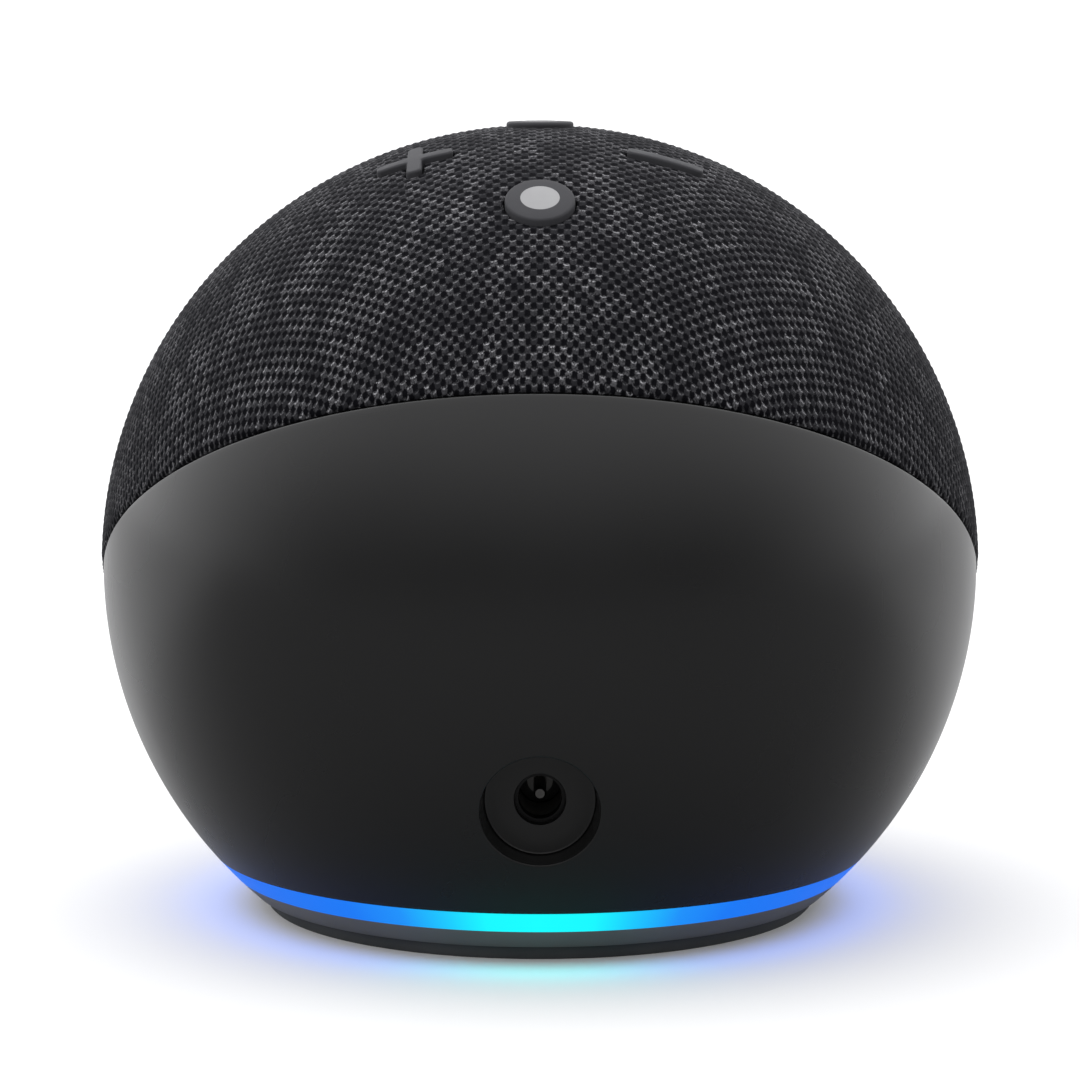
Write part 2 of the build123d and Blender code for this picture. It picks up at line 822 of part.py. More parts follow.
def key_flex():
    """The flat cable between the two boards, straight up behind the chamber and bent at the top."""
    reach = 16.0
    lean = radians(key_tilt)
    bottom = board_top + connector_height
    end = (flex_y + reach * sin(lean), flex_bend_z + reach * cos(lean))
    route = [(flex_y, bottom), (flex_y, flex_bend_z), end]
    outline = route + [(y + flex_thickness, z) for y, z in reversed(route)]
    strip = extrude(Plane.YZ * make_face(Polyline(*outline, close=True)), amount=flex_width)
    return (Pos(flex_x - flex_width / 2, 0, 0) * strip) & below(keys, key_connector_bottom)


# ---- Build ----

os.makedirs("parts", exist_ok=True)
built = {
    "fabric_cover": fabric_sleeve,
    "dome_frame": dome_frame,
    "speaker_grille": speaker_grille,
    "rear_shell": rear_shell,
    "plug_recess": plug_recess,
    "light_ring": light_ring,
    "base_plate": base_plate,
    "rubber_foot": rubber_foot,
    "base_screws": base_screws,
    "chassis_screws": chassis_screws,
    "led_board": led_board,
    "ring_leds": ring_leds,
    "main_board": main_board,
    "main_processor": main_processor,
    "memory_chips": memory_chips,
    "radio_shield": radio_shield,
    "power_parts": power_parts,
    "board_connectors": board_connectors,
    "antennas": antennas,
    "thermal_pad": thermal_pad,
    "heat_spreader": heat_spreader,
    "dc_socket_housing": dc_socket_housing,
    "dc_socket_pin": dc_socket_pin,
    "dc_socket_contact": dc_socket_contact,
    "acoustic_chamber": acoustic_chamber,
    "baffle_seal": baffle_seal,
    "front_baffle": front_baffle,
    "baffle_screws": baffle_screws,
    "driver_gasket": driver_gasket,
    "driver_basket": driver_basket,
    "driver_screws": driver_screws,
    "top_plate": top_plate,
    "magnet": magnet,
    "pole_yoke": pole_yoke,
    "driver_spider": driver_spider,
    "driver_surround": driver_surround,
    "speaker_cone": speaker_cone,
    "dust_cap": dust_cap,
    "voice_coil": voice_coil,
    "driver_terminals": driver_terminals,
    "speaker_leads": speaker_leads,
    "lead_grommet": lead_grommet,
    "key_board": key_board,
    "key_switches": key_switches,
    "key_board_screws": key_board_screws,
    "microphones": microphones,
    "microphone_gaskets": microphone_gaskets,
    "key_flex": key_flex,
}
for name, make in built.items():
    save(name, make())
for name in key_places:
    save(f"{name}_key", key_cap(name))
    save(f"{name}_plunger", plunger(name))
save("action_key_dot", key_inlay("action"))
save("microphone_key_mark", key_inlay("microphone"))
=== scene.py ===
import json
import math

import bmesh
import bpy
import numpy as np
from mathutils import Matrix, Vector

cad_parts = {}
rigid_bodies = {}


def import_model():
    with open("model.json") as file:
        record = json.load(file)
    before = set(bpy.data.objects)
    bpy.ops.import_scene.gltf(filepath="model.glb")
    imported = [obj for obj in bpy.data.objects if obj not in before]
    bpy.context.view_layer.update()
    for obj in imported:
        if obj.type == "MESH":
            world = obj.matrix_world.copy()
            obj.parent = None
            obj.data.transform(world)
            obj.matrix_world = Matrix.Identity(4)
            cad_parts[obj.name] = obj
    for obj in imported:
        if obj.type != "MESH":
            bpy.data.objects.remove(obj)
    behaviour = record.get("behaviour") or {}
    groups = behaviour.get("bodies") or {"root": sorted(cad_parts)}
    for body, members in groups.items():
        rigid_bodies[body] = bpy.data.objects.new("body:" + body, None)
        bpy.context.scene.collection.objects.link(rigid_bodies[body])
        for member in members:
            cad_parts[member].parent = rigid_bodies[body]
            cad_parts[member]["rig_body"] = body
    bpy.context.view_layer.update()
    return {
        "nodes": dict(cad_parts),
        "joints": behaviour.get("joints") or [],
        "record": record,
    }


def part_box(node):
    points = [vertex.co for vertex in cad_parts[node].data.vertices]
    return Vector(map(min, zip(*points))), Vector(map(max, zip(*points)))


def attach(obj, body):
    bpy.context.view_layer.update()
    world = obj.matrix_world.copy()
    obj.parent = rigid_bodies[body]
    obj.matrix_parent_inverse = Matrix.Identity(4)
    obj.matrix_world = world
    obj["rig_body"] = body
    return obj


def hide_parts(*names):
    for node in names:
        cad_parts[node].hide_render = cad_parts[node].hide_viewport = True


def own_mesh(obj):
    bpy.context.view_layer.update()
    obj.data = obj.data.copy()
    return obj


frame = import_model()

nodes = frame["nodes"]
joints = {joint["name"]: joint for joint in frame["joints"]}
mm = 0.001
print("frame loaded:", len(nodes), "nodes")

# The ball, worked out from the frame: its radius over the cloth, its centre, and the three
# leaning directions that the dome, the keys and the light follow.
clothLow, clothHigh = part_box("fabric_cover")
ballRadius = (clothHigh.x - clothLow.x) / 2
ballHeight = 0.089
ballCentre = np.array([0.0, 0.0, ballHeight - ballRadius])
sideways = np.array([1.0, 0.0, 0.0])

seam = {"tilt": 31.5, "drop": 2.0 * mm, "gap": 0.1 * mm}
domeUp = np.array([0.0, -math.sin(math.radians(seam["tilt"])), math.cos(math.radians(seam["tilt"]))])
domeBack = np.cross(domeUp, sideways)
keyUp = -np.array(joints["action_press"]["axis"], float)
keyBack = np.cross(keyUp, sideways)


# ---------- meshes from arrays

# The faces of a grid of points, row by row; a closed grid's last column joins its first.
def gridFaces(rows, columns, closed=False):
    lastColumn = columns if closed else columns - 1
    row, column = np.meshgrid(np.arange(rows - 1), np.arange(lastColumn), indexing="ij")
    here, right = row * columns + column, row * columns + (column + 1) % columns
    return np.stack([here, right, right + columns, here + columns], -1).reshape(-1, 4)


def newPiece(name, points, faces, uvs=None):
    mesh = bpy.data.meshes.new(name)
    mesh.from_pydata(points.tolist(), [], faces.tolist())
    mesh.validate()
    if uvs is not None:
        corner = np.zeros(len(mesh.loops), np.int32)
        mesh.loops.foreach_get("vertex_index", corner)
        layer = mesh.uv_layers.new(name="knit")
        layer.data.foreach_set("uv", uvs[corner].astype(np.float32).ravel())
    mesh.shade_smooth()
    piece = bpy.data.objects.new(name, mesh)
    bpy.context.scene.collection.objects.link(piece)
    return piece


# Open edges are those that only one face uses; they keep that face's direction.
def openEdges(faces):
    edges = np.concatenate([np.stack([faces[:, i], faces[:, (i + 1) % 4]], -1) for i in range(4)])
    key = np.sort(edges, axis=1)
    _, first, uses = np.unique(key, axis=0, return_index=True, return_counts=True)
    return edges[first[uses == 1]]


mergeWithin = 0.002 * mm
sharpAbove = math.radians(28)


# A copy of a CAD node with its loose triangles joined, round faces shaded round and edges kept sharp.
def smoothCopy(nodeName, pieceName, slotName):
    source = nodes[nodeName]
    piece = bpy.data.objects.new(pieceName, source.data.copy())
    bpy.context.scene.collection.objects.link(piece)
    work = bmesh.new()
    work.from_mesh(piece.data)
    bmesh.ops.remove_doubles(work, verts=work.verts, dist=mergeWithin)
    for edge in work.edges:
        edge.smooth = len(edge.link_faces) == 2 and edge.calc_face_angle(0) < sharpAbove
    for face in work.faces:
        face.smooth = True
    work.to_mesh(piece.data)
    work.free()
    if "custom_normal" in piece.data.attributes:
        piece.data.attributes.remove(piece.data.attributes["custom_normal"])
    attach(piece, source["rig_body"])
    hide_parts(nodeName)
    piece.data.materials.clear()
    piece.data.materials.append(finish(slotName))
    return piece


# ---------- materials

def link(tree, fromNode, output, toNode, socket):
    tree.links.new(fromNode.outputs[output], toNode.inputs[socket])


def mathNode(tree, operation, a, b=None, clamp=False):
    node = tree.nodes.new("ShaderNodeMath")
    node.operation, node.use_clamp = operation, clamp
    for index, value in enumerate((a, b)):
        if value is None:
            continue
        if isinstance(value, (int, float)):
            node.inputs[index].default_value = value
        else:
            tree.links.new(value, node.inputs[index])
    return node.outputs[0]


def rangeNode(tree, value, low, high, toLow=0.0, toHigh=1.0, smooth=True):
    node = tree.nodes.new("ShaderNodeMapRange")
    node.interpolation_type = "SMOOTHSTEP" if smooth else "LINEAR"
    for socket, number in (("From Min", low), ("From Max", high), ("To Min", toLow), ("To Max", toHigh)):
        node.inputs[socket].default_value = number
    tree.links.new(value, node.inputs["Value"])
    return node.outputs["Result"]


def mixColours(tree, factor, a, b, blend="MIX"):
    node = tree.nodes.new("ShaderNodeMix")
    node.data_type, node.blend_type = "RGBA", blend
    for socket, value in ((node.inputs["Factor"], factor), (node.inputs[6], a), (node.inputs[7], b)):
        if isinstance(value, tuple):
            socket.default_value = (*value, 1.0)
        elif isinstance(value, (int, float)):
            socket.default_value = value
        else:
            tree.links.new(value, socket)
    return node.outputs[2]


# Grain of moulded and cast surfaces: a fine noise for the height, a broad one for shade and gloss.
def grainGroup():
    group = bpy.data.node_groups.new("surfaceGrain", "ShaderNodeTree")
    number, vector = "NodeSocketFloat", "NodeSocketVector"
    for name, kind in (("Vector", vector), ("Fine", number), ("Broad", number)):
        group.interface.new_socket(name, in_out="INPUT", socket_type=kind)
    for name in ("Height", "Shade"):
        group.interface.new_socket(name, in_out="OUTPUT", socket_type=number)
    ins, outs = group.nodes.new("NodeGroupInput"), group.nodes.new("NodeGroupOutput")
    for name, scale, detail in (("Height", "Fine", 2.0), ("Shade", "Broad", 3.0)):
        noise = group.nodes.new("ShaderNodeTexNoise")
        noise.inputs["Detail"].default_value = detail
        group.links.new(ins.outputs["Vector"], noise.inputs["Vector"])
        group.links.new(ins.outputs[scale], noise.inputs["Scale"])
        group.links.new(noise.outputs["Fac"], outs.inputs[name])
    return group


surfaceGrain = grainGroup()

# Each finish: colour, its darker or lighter partner, roughness low and high, metal, grain size per
# metre, broad size per metre, and how deep the grain is in metres.
finishes = {
    "black_frame_plastic": ((0.030, 0.030, 0.032), (0.018, 0.018, 0.020), 0.50, 0.62, 0, 5200, 60, 0.00003),
    "shell_plastic": ((0.0058, 0.0058, 0.0060), (0.0050, 0.0050, 0.0052), 0.26, 0.30, 0, 9000, 45, 0.000004),
    # the base plate's colour is lighter than its own plastic: painted reflection of the floor's light on the
    # base band
    "base_plastic": ((0.280, 0.282, 0.280), (0.250, 0.252, 0.250), 0.36, 0.44, 0, 9000, 70, 0.000006),
    "foot_rubber": ((0.115, 0.122, 0.126), (0.095, 0.102, 0.106), 0.68, 0.80, 0, 3600, 140, 0.00002),
    "key_plastic": ((0.060, 0.060, 0.065), (0.053, 0.053, 0.058), 0.58, 0.66, 0, 12000, 160, 0.000004),
    "key_mark": ((0.365, 0.365, 0.372), (0.340, 0.340, 0.347), 0.50, 0.58, 0, 9000, 300, 0.000003),
    "screw_steel": ((0.30, 0.30, 0.31), (0.22, 0.22, 0.23), 0.28, 0.42, 1, 5000, 500, 0.00001),
    "board_green": ((0.015, 0.095, 0.040), (0.010, 0.060, 0.028), 0.32, 0.46, 0, 2600, 240, 0.00002),
    "chip_black": ((0.020, 0.020, 0.022), (0.030, 0.030, 0.032), 0.42, 0.56, 0, 7000, 300, 0.00001),
    "shield_tin": ((0.62, 0.62, 0.60), (0.54, 0.54, 0.53), 0.26, 0.40, 1, 2400, 160, 0.00001),
    "lamp_white": ((0.85, 0.85, 0.78), (0.80, 0.78, 0.60), 0.16, 0.26, 0, 3000, 800, 0.00001),
    "can_aluminium": ((0.72, 0.72, 0.74), (0.60, 0.60, 0.62), 0.26, 0.38, 1, 4000, 260, 0.00001),
    "connector_plastic": ((0.70, 0.68, 0.60), (0.64, 0.61, 0.52), 0.44, 0.54, 0, 5000, 300, 0.00001),
    "pad_silicone": ((0.35, 0.42, 0.50), (0.30, 0.36, 0.44), 0.60, 0.74, 0, 3000, 300, 0.00003),
    "cast_aluminium": ((0.55, 0.56, 0.58), (0.46, 0.47, 0.49), 0.44, 0.60, 1, 2600, 120, 0.00005),
    "socket_plastic": ((0.0075, 0.0075, 0.008), (0.006, 0.006, 0.0065), 0.42, 0.52, 0, 7000, 300, 0.000006),
    "pin_metal": ((0.15, 0.147, 0.144), (0.11, 0.107, 0.104), 0.30, 0.42, 1, 5000, 900, 0.000004),
    "contact_metal": ((0.42, 0.42, 0.41), (0.34, 0.34, 0.33), 0.28, 0.42, 1, 5000, 900, 0.000006),
    "chamber_plastic": ((0.040, 0.040, 0.042), (0.030, 0.030, 0.033), 0.52, 0.66, 0, 3800, 70, 0.00004),
    "seal_foam": ((0.020, 0.020, 0.020), (0.034, 0.034, 0.034), 0.82, 0.94, 0, 2200, 500, 0.0001),
    "basket_steel": ((0.030, 0.030, 0.030), (0.042, 0.042, 0.042), 0.34, 0.46, 0, 5200, 150, 0.00002),
    "yoke_steel": ((0.45, 0.45, 0.46), (0.38, 0.38, 0.36), 0.30, 0.44, 1, 3200, 120, 0.00002),
    "magnet_ferrite": ((0.080, 0.080, 0.085), (0.060, 0.060, 0.064), 0.56, 0.72, 0, 3600, 200, 0.00004),
    "spider_cloth": ((0.55, 0.42, 0.18), (0.44, 0.31, 0.11), 0.72, 0.86, 0, 2400, 400, 0.00008),
    "surround_rubber": ((0.025, 0.025, 0.025), (0.018, 0.018, 0.018), 0.48, 0.62, 0, 5000, 200, 0.00001),
    "cone_pulp": ((0.060, 0.060, 0.060), (0.045, 0.045, 0.045), 0.74, 0.88, 0, 1900, 260, 0.00007),
    "cap_plastic": ((0.040, 0.040, 0.045), (0.030, 0.030, 0.034), 0.26, 0.36, 0, 6000, 300, 0.000008),
    "coil_copper": ((0.72, 0.38, 0.20), (0.60, 0.26, 0.12), 0.24, 0.38, 1, 6000, 500, 0.00003),
    "lead_sleeve": ((0.35, 0.03, 0.03), (0.28, 0.02, 0.02), 0.38, 0.50, 0, 4000, 400, 0.00001),
    "flex_film": ((0.55, 0.28, 0.06), (0.46, 0.22, 0.04), 0.24, 0.36, 0, 2200, 220, 0.000008),
}
# Finishes that shine less than others at a glance, with their specular level.
dull = {"key_plastic": 0.10, "key_mark": 0.20, "socket_plastic": 0.30, "foot_rubber": 0.35}
made = {}  # each slot's material, once it is made


def newMaterial(name):
    material = bpy.data.materials.new(name)
    material.use_nodes = True
    tree = material.node_tree
    shader = tree.nodes["Principled BSDF"]
    return material, tree, shader


def finish(slotName):
    if slotName in made:
        return made[slotName]
    colour, partner, smoothest, roughest, metal, fine, broad, depth = finishes[slotName]
    material, tree, shader = newMaterial(slotName)
    shader.inputs["Metallic"].default_value = metal
    shader.inputs["Specular IOR Level"].default_value = dull.get(slotName, 0.5)
    place = tree.nodes.new("ShaderNodeTexCoord")
    grain = tree.nodes.new("ShaderNodeGroup")
    grain.node_tree = surfaceGrain
    grain.inputs["Fine"].default_value = fine
    grain.inputs["Broad"].default_value = broad
    link(tree, place, "Object", grain, "Vector")
    shade = rangeNode(tree, grain.outputs["Shade"], 0.35, 0.65)
    tree.links.new(mixColours(tree, shade, partner, colour), shader.inputs["Base Color"])
    tree.links.new(rangeNode(tree, grain.outputs["Shade"], 0.3, 0.7, smoothest, roughest),
                   shader.inputs["Roughness"])
    bump = tree.nodes.new("ShaderNodeBump")
    bump.inputs["Strength"].default_value = 0.6
    bump.inputs["Distance"].default_value = depth
    link(tree, grain, "Height", bump, "Height")
    link(tree, bump, "Normal", shader, "Normal")
    made[slotName] = material
    return material


# ---------- the knitted cover

knit = {
    "cellAcross": 0.94 * mm,  # from one column of loops to the next
    "cellAlong": 0.90 * mm,
    "relief": 0.10 * mm,      # how far loops rise and the gaps between them sink
    "fade": 0.8 * mm,         # the relief dies out over this distance from an edge
    "rimRoll": (0.22 * mm, 0.9 * mm),   # how deep the cloth rolls in at the seam, and over what width
    "keyRoll": (0.10 * mm, 0.7 * mm),
    "hem": ((0.25 * mm, 0.06 * mm), (0.62 * mm, 0.08 * mm)),  # steps inwards, and up under the seam
    "gap": 0.2 * mm,          # round each key
    "snaps": 6,               # steps that bring an edge onto a key's outline
    "uvSpan": 200.0,          # cells across the whole UV square
    "crown": 0.8 * ballRadius,  # the keys all stand above this height along their board's normal
    "rimTrim": 0.25,          # cells nearer an edge than this share of a step are left out
    "keyTrim": 0.1,
}

keyShapes = {
    "action": {"round": 3.8 * mm},
    "microphone": {"round": 3.8 * mm},
    "volume_up": {"bars": [(4.2 * mm, 0.85 * mm), (0.85 * mm, 4.2 * mm)], "corner": 0.6 * mm},
    "volume_down": {"bars": [(4.2 * mm, 0.85 * mm)], "corner": 0.6 * mm},
}


# Where a key stands on its board: the middle of its round plunger, in the board's two directions.
def keyPlace(name):
    low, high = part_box(name + "_plunger")
    middle = (np.array(low) + np.array(high)) / 2 - ballCentre
    return np.array([middle @ sideways, middle @ keyBack])


# Distance outside a key's outline, on its board's plane: to a circle, or to the nearest rounded bar.
def outlineDistance(name, flat):
    shape = keyShapes[name]
    offset = flat - keyPlace(name)
    if "round" in shape:
        return np.linalg.norm(offset, axis=1) - shape["round"]
    corner = shape["corner"]
    distances = []
    for halfLength, halfWidth in shape["bars"]:
        outside = np.abs(offset) - (np.array([halfLength, halfWidth]) - corner)
        beyond = np.linalg.norm(np.maximum(outside, 0), axis=1)
        distances.append(beyond + np.minimum(outside.max(axis=1), 0) - corner)
    return np.min(distances, axis=0)


# The flat cloth wrapped on the ball: distance from its middle becomes angle from the dome's top.
def wrapCloth(flat, radius):
    reach = np.linalg.norm(flat, axis=1)
    angle = reach / ballRadius
    along = flat / np.maximum(reach, 1e-12)[:, None]
    level = np.sin(angle)[:, None] * (along[:, :1] * sideways + along[:, 1:] * domeBack)
    return (level + np.cos(angle)[:, None] * domeUp) * np.reshape(radius, (-1, 1))


def unwrap(points):
    unit = points / np.linalg.norm(points, axis=1, keepdims=True)
    angle = np.arccos(np.clip(unit @ domeUp, -1, 1))
    around = np.stack([unit @ sideways, unit @ domeBack], -1)
    around /= np.maximum(np.linalg.norm(around, axis=1, keepdims=True), 1e-12)
    return around * (angle * ballRadius)[:, None]


# Moves points onto a key's outline grown by the gap, by steps down the slope of the distance.
def snapToOutline(name, points):
    step = 0.01 * mm
    for _ in range(knit["snaps"]):
        flat = np.stack([points @ sideways, points @ keyBack], -1)
        off = outlineDistance(name, flat) - knit["gap"]
        ahead = [outlineDistance(name, flat + np.array(d) * step) for d in ((1, 0), (0, 1))]
        back = [outlineDistance(name, flat - np.array(d) * step) for d in ((1, 0), (0, 1))]
        slope = np.stack([a - b for a, b in zip(ahead, back)], -1)
        slope /= np.maximum(np.linalg.norm(slope, axis=1, keepdims=True), 1e-9)
        move = -slope * off[:, None]
        points = points + move[:, :1] * sideways + move[:, 1:] * keyBack
        points *= ballRadius / np.linalg.norm(points, axis=1, keepdims=True)
    return points


def makeCover():
    rimAngle = math.acos(-seam["drop"] / ballRadius)
    rimReach = rimAngle * ballRadius
    stepAcross, stepAlong = knit["cellAcross"] / 2, knit["cellAlong"] / 2
    halfAcross, halfAlong = int(rimReach / stepAcross) + 1, int(rimReach / stepAlong) + 1
    across = np.arange(-halfAcross, halfAcross + 1) * stepAcross
    along = np.arange(-halfAlong, halfAlong + 1) * stepAlong
    aa, bb = np.meshgrid(across, along, indexing="ij")
    flat = np.stack([aa.ravel(), bb.ravel()], -1)
    faces = gridFaces(len(across), len(along))
    centres = flat[faces].mean(axis=1)
    keep = np.linalg.norm(centres, axis=1) < rimReach - knit["rimTrim"] * stepAlong
    onBall = wrapCloth(centres, np.full(len(centres), ballRadius))
    onKeys = np.stack([onBall @ sideways, onBall @ keyBack], -1)
    nearTop = onBall @ keyUp > knit["crown"]
    for name in keyShapes:
        keep &= ~(nearTop & (outlineDistance(name, onKeys) < knit["gap"] + knit["keyTrim"] * stepAlong))
    faces = faces[keep]
    used, faces = np.unique(faces, return_inverse=True)
    faces = faces.reshape(-1, 4)
    flat = flat[used]

    # the staircase edges are drawn onto the seam's circle and the keys' outlines
    rim = openEdges(faces)
    edge = np.unique(rim)
    points = wrapCloth(flat, np.full(len(flat), ballRadius))
    outer = edge[points[edge] @ keyUp < knit["crown"]]
    flat[outer] *= (rimReach / np.linalg.norm(flat[outer], axis=1))[:, None]
    inner = edge[points[edge] @ keyUp >= knit["crown"]]
    onKeys = np.stack([points[inner] @ sideways, points[inner] @ keyBack], -1)
    names = list(keyShapes)
    nearest = np.argmin([outlineDistance(name, onKeys) for name in names], axis=0)
    for index, name in enumerate(names):
        mine = inner[nearest == index]
        flat[mine] = unwrap(snapToOutline(name, points[mine]))

    # relief: the height is the product of two cosines, across and along, so loops and gaps alternate
    # like a chessboard; it fades out at every edge, where the cloth rolls in by a square law
    points = wrapCloth(flat, np.full(len(flat), ballRadius))
    onKeys = np.stack([points @ sideways, points @ keyBack], -1)
    toKeys = np.min([outlineDistance(name, onKeys) for name in names], axis=0) - knit["gap"]
    toKeys[points @ keyUp < 0] = 1.0
    toRim = rimReach - np.linalg.norm(flat, axis=1)
    fade = np.clip(np.minimum(toKeys, toRim) / knit["fade"], 0, 1)
    loops = np.cos(np.pi * flat[:, 0] / knit["cellAcross"]) * np.cos(np.pi * flat[:, 1] / knit["cellAlong"])
    roll = 0
    for distance, (depth, width) in ((toRim, knit["rimRoll"]), (toKeys, knit["keyRoll"])):
        roll = roll + depth * (1 - np.clip(distance / width, 0, 1)) ** 2
    radius = ballRadius - knit["relief"] + knit["relief"] * loops * fade - roll
    points = wrapCloth(flat, radius)

    # hems: the open edges turn in towards the ball's middle, in two steps
    uv = flat / np.array([knit["cellAcross"], knit["cellAlong"]]) / knit["uvSpan"] + 0.5
    last = edge
    for depth, inwards in knit["hem"]:
        unit = points[edge] / np.linalg.norm(points[edge], axis=1, keepdims=True)
        start = len(points)
        turned = points[edge] - unit * depth
        isOuter = np.isin(edge, outer)
        turned[isOuter] += domeUp * inwards
        points = np.concatenate([points, turned])
        uv = np.concatenate([uv, uv[edge]])
        fresh = np.arange(start, start + len(edge))
        mapLast, mapFresh = np.zeros(start, int), np.zeros(start, int)
        mapLast[edge], mapFresh[edge] = last, fresh
        strip = np.stack([mapLast[rim[:, 1]], mapLast[rim[:, 0]],
                          mapFresh[rim[:, 0]], mapFresh[rim[:, 1]]], -1)
        faces = np.concatenate([faces, strip])
        last = fresh
    piece = newPiece("knittedCover", points + ballCentre, faces, uv)
    flatArea = math.pi * rimReach ** 2
    return piece, flatArea, rimReach


# The knit: dark gaps in a chessboard between grey yarns; the gaps' darkness is painted shade. Each stitch
# shows a painted highlight, a bright curved crest under the gap above it, and has its own tone; fine fibres
# break all of it up.
yarn = {
    # the next colour is painted shade, laid in the gaps between loops
    "gap": (0.0035, 0.0035, 0.0050),
    "low": (0.020, 0.020, 0.023),
    "high": (0.108, 0.107, 0.114),
    # the next colour is the painted highlight on each stitch, and the entries after it shape and place it
    "paintedCrest": (0.520, 0.515, 0.540),
    "crestBend": 0.85,          # how strongly a crest curves, in cells
    "crestAt": -0.20,           # how far below its stitch's middle
    "crestHalf": (0.02, 0.19),  # where across it the crest starts and ends to fade
    "crestEnd": (0.22, 0.80),
    # the next entry sets where the painted shade of the gaps gives way to thread
    "ragged": (-0.37, 0.29),    # between which heights of the loops the gap turns into thread
    "fray": 1.5,                # how far fibres push that edge about
    "wander": (0.55, 1.0),      # each noise: its scale in cells and its detail
    "fibre": (3.2, 3.0, 0.65),
    "fluff": (0.11, 2.0),
    # the next entry sets how bright the painted highlights are, from the darkest stitch to the lightest
    "highlightStrength": (0.12, 0.90),      # how bright crests are, from the darkest stitch to the lightest
    "stray": 0.36,              # how far stitches wander, in cells
}


def knitMaterial():
    material, tree, shader = newMaterial("charcoal_fabric")
    uvMap = tree.nodes.new("ShaderNodeUVMap")
    uvMap.uv_map = "knit"
    cell = tree.nodes.new("ShaderNodeVectorMath")
    cell.operation = "MULTIPLY_ADD"
    cell.inputs[1].default_value = (knit["uvSpan"],) * 3
    cell.inputs[2].default_value = (-knit["uvSpan"] / 2,) * 3
    link(tree, uvMap, "UV", cell, 0)

    def noise(scale, detail, roughness=0.5):
        node = tree.nodes.new("ShaderNodeTexNoise")
        node.inputs["Scale"].default_value = scale
        node.inputs["Detail"].default_value = detail
        node.inputs["Roughness"].default_value = roughness
        link(tree, cell, 0, node, "Vector")
        return node

    wander = noise(*yarn["wander"])
    strayed = tree.nodes.new("ShaderNodeVectorMath")
    strayed.operation = "MULTIPLY_ADD"
    strayed.inputs[1].default_value = (yarn["stray"],) * 3
    link(tree, wander, "Color", strayed, 0)
    link(tree, cell, 0, strayed, 2)
    parts = tree.nodes.new("ShaderNodeSeparateXYZ")
    link(tree, strayed, 0, parts, 0)
    across = mathNode(tree, "SUBTRACT", parts.outputs[0], yarn["stray"] / 2)
    along = mathNode(tree, "SUBTRACT", parts.outputs[1], yarn["stray"] / 2)
    waves = [mathNode(tree, "COSINE", mathNode(tree, "MULTIPLY", value, math.pi))
             for value in (across, along)]
    loops = mathNode(tree, "MULTIPLY", *waves)

    # the nearest stitch, on the lattice turned by an eighth, and the place within it
    sides = [mathNode(tree, "MULTIPLY", mathNode(tree, kind, across, along), 0.5)
             for kind in ("ADD", "SUBTRACT")]
    whole = [mathNode(tree, "FLOOR", mathNode(tree, "ADD", side, 0.5)) for side in sides]
    inside = [mathNode(tree, "SUBTRACT", side, number) for side, number in zip(sides, whole)]
    beside = mathNode(tree, "ADD", *inside)
    below = mathNode(tree, "SUBTRACT", *inside)
    stitch = tree.nodes.new("ShaderNodeCombineXYZ")
    tree.links.new(whole[0], stitch.inputs[0])
    tree.links.new(whole[1], stitch.inputs[1])
    each = tree.nodes.new("ShaderNodeTexWhiteNoise")
    each.noise_dimensions = "2D"
    link(tree, stitch, 0, each, "Vector")

    # the painted highlight: a bright curved crest on each stitch, under the gap above it
    bend = mathNode(tree, "MULTIPLY", mathNode(tree, "MULTIPLY", beside, beside), yarn["crestBend"])
    curved = mathNode(tree, "ADD", below, bend)
    off = mathNode(tree, "ABSOLUTE", mathNode(tree, "SUBTRACT", curved, yarn["crestAt"]))
    paintedCrest = mathNode(tree, "MULTIPLY", rangeNode(tree, off, *yarn["crestHalf"], 1.0, 0.0),
                     rangeNode(tree, mathNode(tree, "ABSOLUTE", beside), *yarn["crestEnd"], 1.0, 0.0))
    fibre = noise(*yarn["fibre"])
    fluff = noise(*yarn["fluff"])
    broken = rangeNode(tree, fibre.outputs["Fac"], 0.36, 0.62)
    patches = rangeNode(tree, fluff.outputs["Fac"], 0.34, 0.66, 0.45, 1.25)
    tone = mathNode(tree, "MULTIPLY", each.outputs["Value"], patches)
    fray = mathNode(tree, "MULTIPLY", mathNode(tree, "SUBTRACT", fibre.outputs["Fac"], 0.5), yarn["fray"])
    # body masks the gaps' painted shade from the thread; the gap colour laid under the grey yarn is painted
    # shade
    body = rangeNode(tree, mathNode(tree, "ADD", loops, fray), *yarn["ragged"])
    grey = mixColours(tree, mathNode(tree, "MULTIPLY", tone, broken, clamp=True), yarn["low"], yarn["high"])
    threadsAndGapShade = mixColours(tree, body, yarn["gap"], grey)
    # the painted highlight, brighter on lighter stitches, is mixed over the threads
    highlightByTone = rangeNode(tree, tone, 0.0, 1.0, *yarn["highlightStrength"], smooth=False)
    highlightStrength = mathNode(tree, "MULTIPLY", mathNode(tree, "MULTIPLY", paintedCrest, broken), highlightByTone, clamp=True)
    tree.links.new(mixColours(tree, highlightStrength, threadsAndGapShade, yarn["paintedCrest"]), shader.inputs["Base Color"])

    height = mathNode(tree, "ADD", mathNode(tree, "ADD", body, paintedCrest), fibre.outputs["Fac"])
    bump = tree.nodes.new("ShaderNodeBump")
    bump.inputs["Strength"].default_value = 0.7
    bump.inputs["Distance"].default_value = 0.06 * mm
    tree.links.new(height, bump.inputs["Height"])
    link(tree, bump, "Normal", shader, "Normal")
    shader.inputs["Roughness"].default_value = 0.9
    shader.inputs["Specular IOR Level"].default_value = 0.06
    return material


cover, coverArea, coverReach = makeCover()
cover.data.materials.append(knitMaterial())
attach(cover, "housing")
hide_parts("fabric_cover")
print("knitted cover:", len(cover.data.polygons), "faces, reach", round(coverReach / mm, 1), "mm")

# ---------- the rear shell, with the plug's recess

